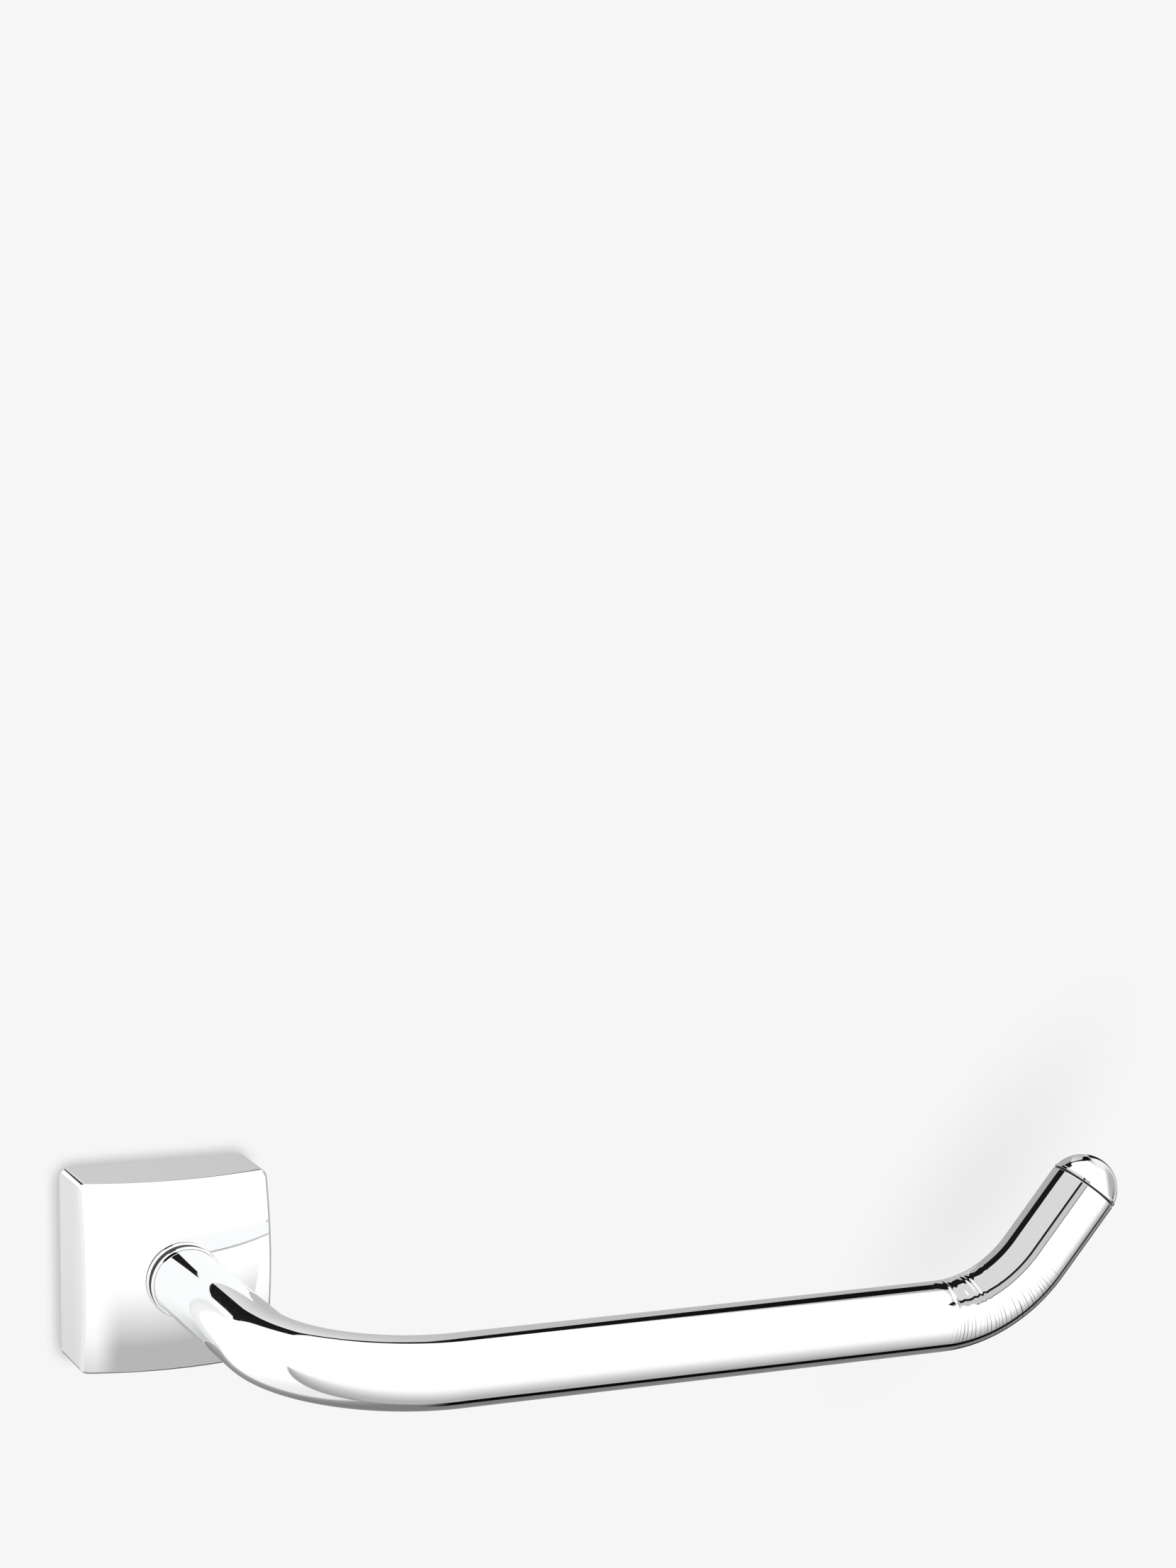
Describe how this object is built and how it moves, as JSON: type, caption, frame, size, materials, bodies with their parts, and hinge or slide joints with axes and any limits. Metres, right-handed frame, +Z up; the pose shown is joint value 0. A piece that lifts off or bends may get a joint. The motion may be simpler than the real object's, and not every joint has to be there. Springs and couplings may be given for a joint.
{
  "type": "wall-mounted roll holder",
  "caption": "Wall-mounted single-arm roll holder: square domed rose, bent chromed tube arm with an upturned, capped tip, clamped to a hidden wall bracket.",
  "frame": {"origin": "the point on the wall's face behind the centre of the rose", "axes": "+X along the bar from the rose towards the tip, +Y into the wall, +Z up"},
  "size_m": [0.2161, 0.111, 0.0569],
  "materials": {
    "chromed_casting": "polished chrome plate on a zinc casting",
    "chromed_tube": "polished chrome plate on brass tube, with plating hairlines at the bends",
    "chromed_turning": "polished chrome plate on turned brass",
    "zinc_plated_steel": "bright zinc plate",
    "raw_brass": "as turned",
    "gasket_rubber": "matte"
  },
  "bodies": {
    "wall_mount": {"wall_gasket": "gasket_rubber", "wall_bracket": "zinc_plated_steel"},
    "holder": {"rose_cover": "chromed_casting", "collar_ring": "chromed_turning", "collar_seal": "gasket_rubber", "collar_lip": "chromed_turning", "arm_tube": "chromed_tube", "end_cap": "chromed_turning", "tube_insert": "raw_brass", "anti_rotation_pin": "zinc_plated_steel", "flat_washer": "zinc_plated_steel", "spring_washer": "zinc_plated_steel", "arm_fixing_screw": "zinc_plated_steel"},
    "set_screw": {"grub_screw": "zinc_plated_steel"}
  },
  "joints": [
    {"name": "holder_slide", "type": "slide", "parent": "wall_mount", "child": "holder", "axis": [0, -1, 0], "range_m": [0, 0.012]},
    {"name": "grub_screw_travel", "type": "slide", "parent": "holder", "child": "set_screw", "axis": [0, 0, -1], "range_m": [0, 0.0025]}
  ]
}
